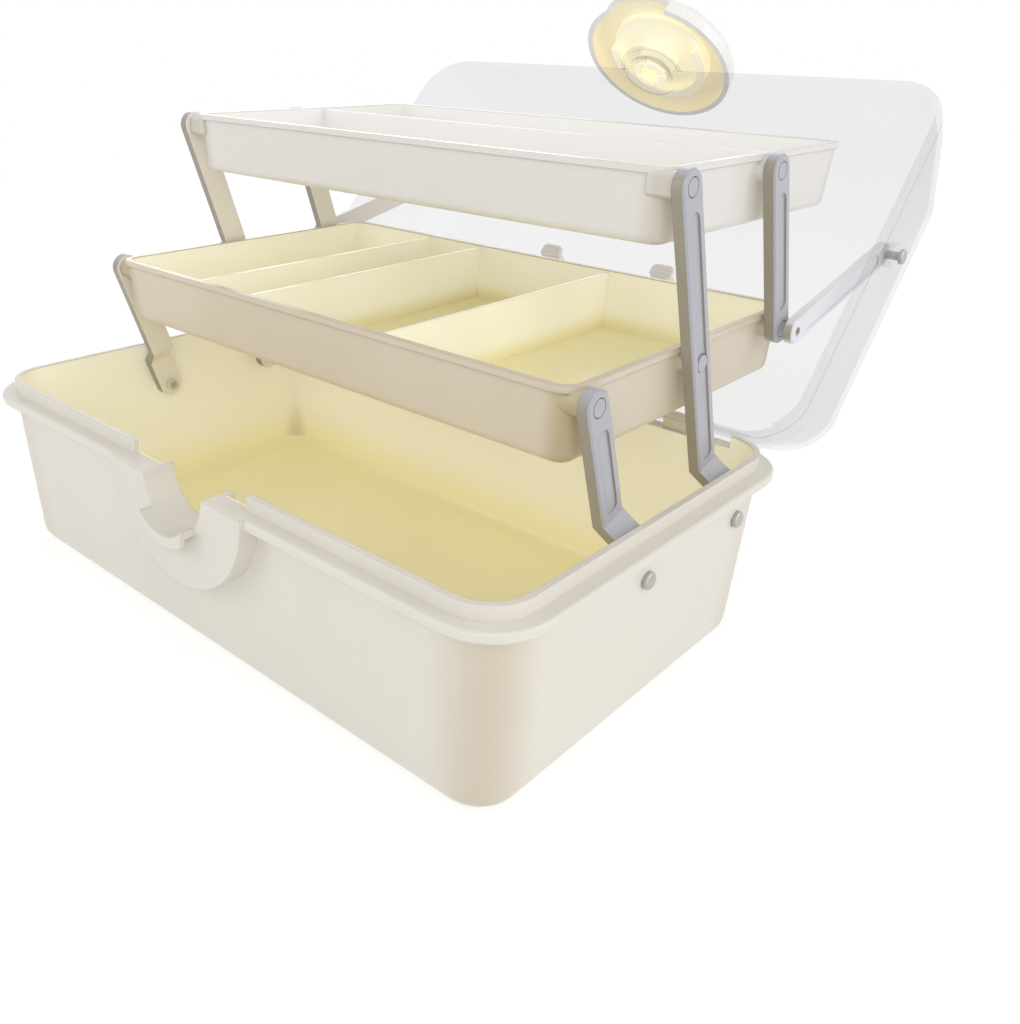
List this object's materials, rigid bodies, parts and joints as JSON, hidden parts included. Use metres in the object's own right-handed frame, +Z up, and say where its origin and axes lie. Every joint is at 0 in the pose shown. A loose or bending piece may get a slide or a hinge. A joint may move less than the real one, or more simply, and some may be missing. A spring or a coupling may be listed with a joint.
{
  "type": "makeup storage case",
  "caption": "Cream plastic storage case with cantilever trays that rise with its hinged clear lid, a round turning latch and a lifting carry handle.",
  "frame": {"origin": "middle of the tub's flat bottom, where the case stands", "axes": "+X to the right seen from the latch side, +Y to the back, towards the hinge, +Z up; modelled with the lid open"},
  "size_m": [0.33, 0.3804, 0.2719],
  "materials": {
    "tub_plastic": "satin moulded cream plastic",
    "clear_lid": "clear moulded plastic",
    "grip_plastic": "satin moulded off-white plastic",
    "inlay_plastic": "matt taupe",
    "arm_plastic": "satin light grey plastic",
    "screw_steel": "dark zinc"
  },
  "bodies": {
    "base": {"base_shell": "tub_plastic", "base_pivot_screws": "screw_steel", "base_pivot_nuts": "screw_steel", "hinge_pins": "screw_steel"},
    "lid": {"lid_shell": "clear_lid", "lid_pivot_screws": "screw_steel"},
    "handle": {"handle_grip": "grip_plastic", "handle_legs": "grip_plastic", "handle_clips": "grip_plastic"},
    "latch": {"latch_knob": "grip_plastic", "latch_insert": "grip_plastic", "latch_inlay": "inlay_plastic", "latch_axle": "grip_plastic"},
    "front_arms": {"front_arm_left": "arm_plastic", "front_arm_right": "arm_plastic"},
    "long_arms": {"long_arm_left": "arm_plastic", "long_arm_right": "arm_plastic"},
    "rear_arms": {"rear_arm_left": "arm_plastic", "rear_arm_right": "arm_plastic"},
    "lid_links": {"lid_link_left": "arm_plastic", "lid_link_right": "arm_plastic"},
    "lower_tray": {"lower_tray": "tub_plastic", "lower_tray_pins": "arm_plastic"},
    "upper_tray": {"upper_tray": "tub_plastic", "upper_tray_pins": "arm_plastic"}
  },
  "joints": [
    {"name": "lid_hinge", "type": "hinge", "parent": "base", "child": "lid", "pos_m": [0, 0.0982, 0.0865], "axis": [1, 0, 0], "range_deg": [0, 133.5]},
    {"name": "front_arm_pivot", "type": "hinge", "parent": "base", "child": "front_arms", "pos_m": [0, -0.00451, 0.0634], "axis": [1, 0, 0], "range_deg": [0, 47.07]},
    {"name": "long_arm_pivot", "type": "hinge", "parent": "base", "child": "long_arms", "pos_m": [0, 0.06585, 0.0634], "axis": [1, 0, 0], "range_deg": [0, 47.07]},
    {"name": "lower_tray_pivot", "type": "hinge", "parent": "long_arms", "child": "lower_tray", "pos_m": [0, 0.04143, 0.13431], "axis": [1, 0, 0], "range_deg": [-47.07, 0]},
    {"name": "upper_tray_pivot", "type": "hinge", "parent": "long_arms", "child": "upper_tray", "pos_m": [0, 0.01793, 0.20258], "axis": [1, 0, 0], "range_deg": [-47.07, 0]},
    {"name": "rear_arm_pivot", "type": "hinge", "parent": "lower_tray", "child": "rear_arms", "pos_m": [0, 0.11179, 0.13431], "axis": [1, 0, 0], "range_deg": [0, 47.07]},
    {"name": "lid_link_pivot", "type": "hinge", "parent": "lid", "child": "lid_links", "pos_m": [0, 0.20452, 0.15477], "axis": [1, 0, 0], "range_deg": [0, 20.34]},
    {"name": "handle_lift", "type": "slide", "parent": "lid", "child": "handle", "axis": [0, 0.7254, -0.6884], "range_m": [0, 0.02]},
    {"name": "latch_turn", "type": "hinge", "parent": "lid", "child": "latch", "pos_m": [0, 0.23412, 0.23627], "axis": [0, 0.6884, 0.7254], "range_deg": [0, 90]}
  ],
  "couplings": [
    {"joint": "front_arm_pivot", "follows": "lid_hinge", "ratio": 0.35184},
    {"joint": "long_arm_pivot", "follows": "lid_hinge", "ratio": 0.35184},
    {"joint": "lower_tray_pivot", "follows": "lid_hinge", "ratio": -0.35184},
    {"joint": "upper_tray_pivot", "follows": "lid_hinge", "ratio": -0.35184},
    {"joint": "rear_arm_pivot", "follows": "lid_hinge", "ratio": 0.35184},
    {"joint": "lid_link_pivot", "follows": "lid_hinge", "ratio": 0.1516}
  ]
}
